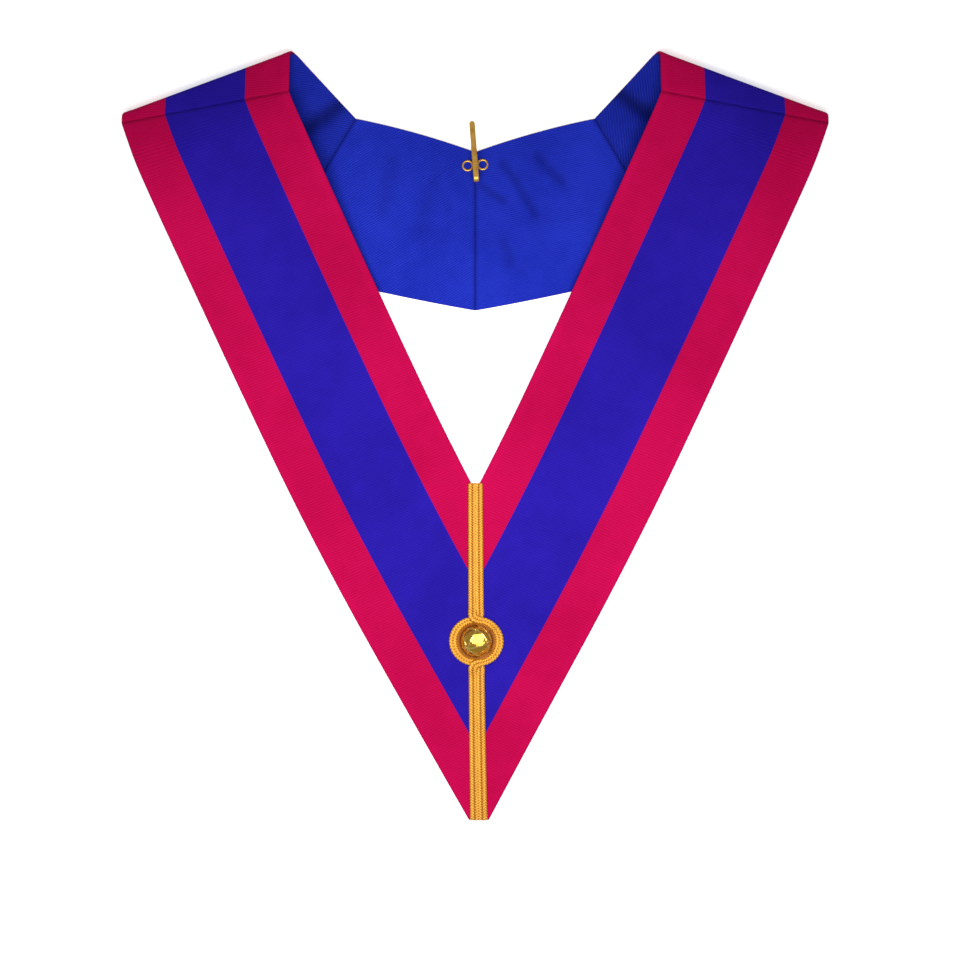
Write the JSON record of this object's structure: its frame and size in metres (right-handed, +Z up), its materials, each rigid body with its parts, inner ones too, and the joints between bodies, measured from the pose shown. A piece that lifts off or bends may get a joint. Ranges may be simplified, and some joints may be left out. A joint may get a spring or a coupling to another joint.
{
  "type": "masonic collar",
  "caption": "Masonic collar laid flat: a V of wide crimson and blue striped ribbon with blue lining, gold braid down the front seam round a gilt dome button, and a brass hook at the nape.",
  "frame": {"origin": "middle of the bounding box's underside, on the surface that the collar lies on", "axes": "+Y from the tip of the V to the neck, +Z up off the surface, +X to the right seen from above with the neck at the top"},
  "size_m": [0.4352, 0.4758, 0.0195],
  "materials": {
    "crimson_stripe": "woven corded ribbon with a slight sheen",
    "blue_stripe": "woven corded ribbon with a slight sheen",
    "lining": "fine twill lining",
    "gold_braid": "metallised thread, plaited",
    "gilt_button": "polished gilt with raised lines",
    "hook_wire": "plain drawn wire, slightly dull"
  },
  "bodies": {
    "root": {"ribbon_front_left_outer": "crimson_stripe", "ribbon_front_left_middle": "blue_stripe", "ribbon_front_left_inner": "crimson_stripe", "lining_front_left": "lining", "ribbon_shoulder_left_outer": "crimson_stripe", "ribbon_shoulder_left_middle": "blue_stripe", "ribbon_shoulder_left_inner": "crimson_stripe", "lining_shoulder_left": "lining", "ribbon_back_left_outer": "crimson_stripe", "ribbon_back_left_middle": "blue_stripe", "ribbon_back_left_inner": "crimson_stripe", "lining_back_left": "lining", "ribbon_front_right_outer": "crimson_stripe", "ribbon_front_right_middle": "blue_stripe", "ribbon_front_right_inner": "crimson_stripe", "lining_front_right": "lining", "ribbon_shoulder_right_outer": "crimson_stripe", "ribbon_shoulder_right_middle": "blue_stripe", "ribbon_shoulder_right_inner": "crimson_stripe", "lining_shoulder_right": "lining", "ribbon_back_right_outer": "crimson_stripe", "ribbon_back_right_middle": "blue_stripe", "ribbon_back_right_inner": "crimson_stripe", "lining_back_right": "lining", "braid_strand_over": "gold_braid", "braid_strand_under": "gold_braid", "button": "gilt_button", "neck_hook": "hook_wire"}
  },
  "joints": []
}
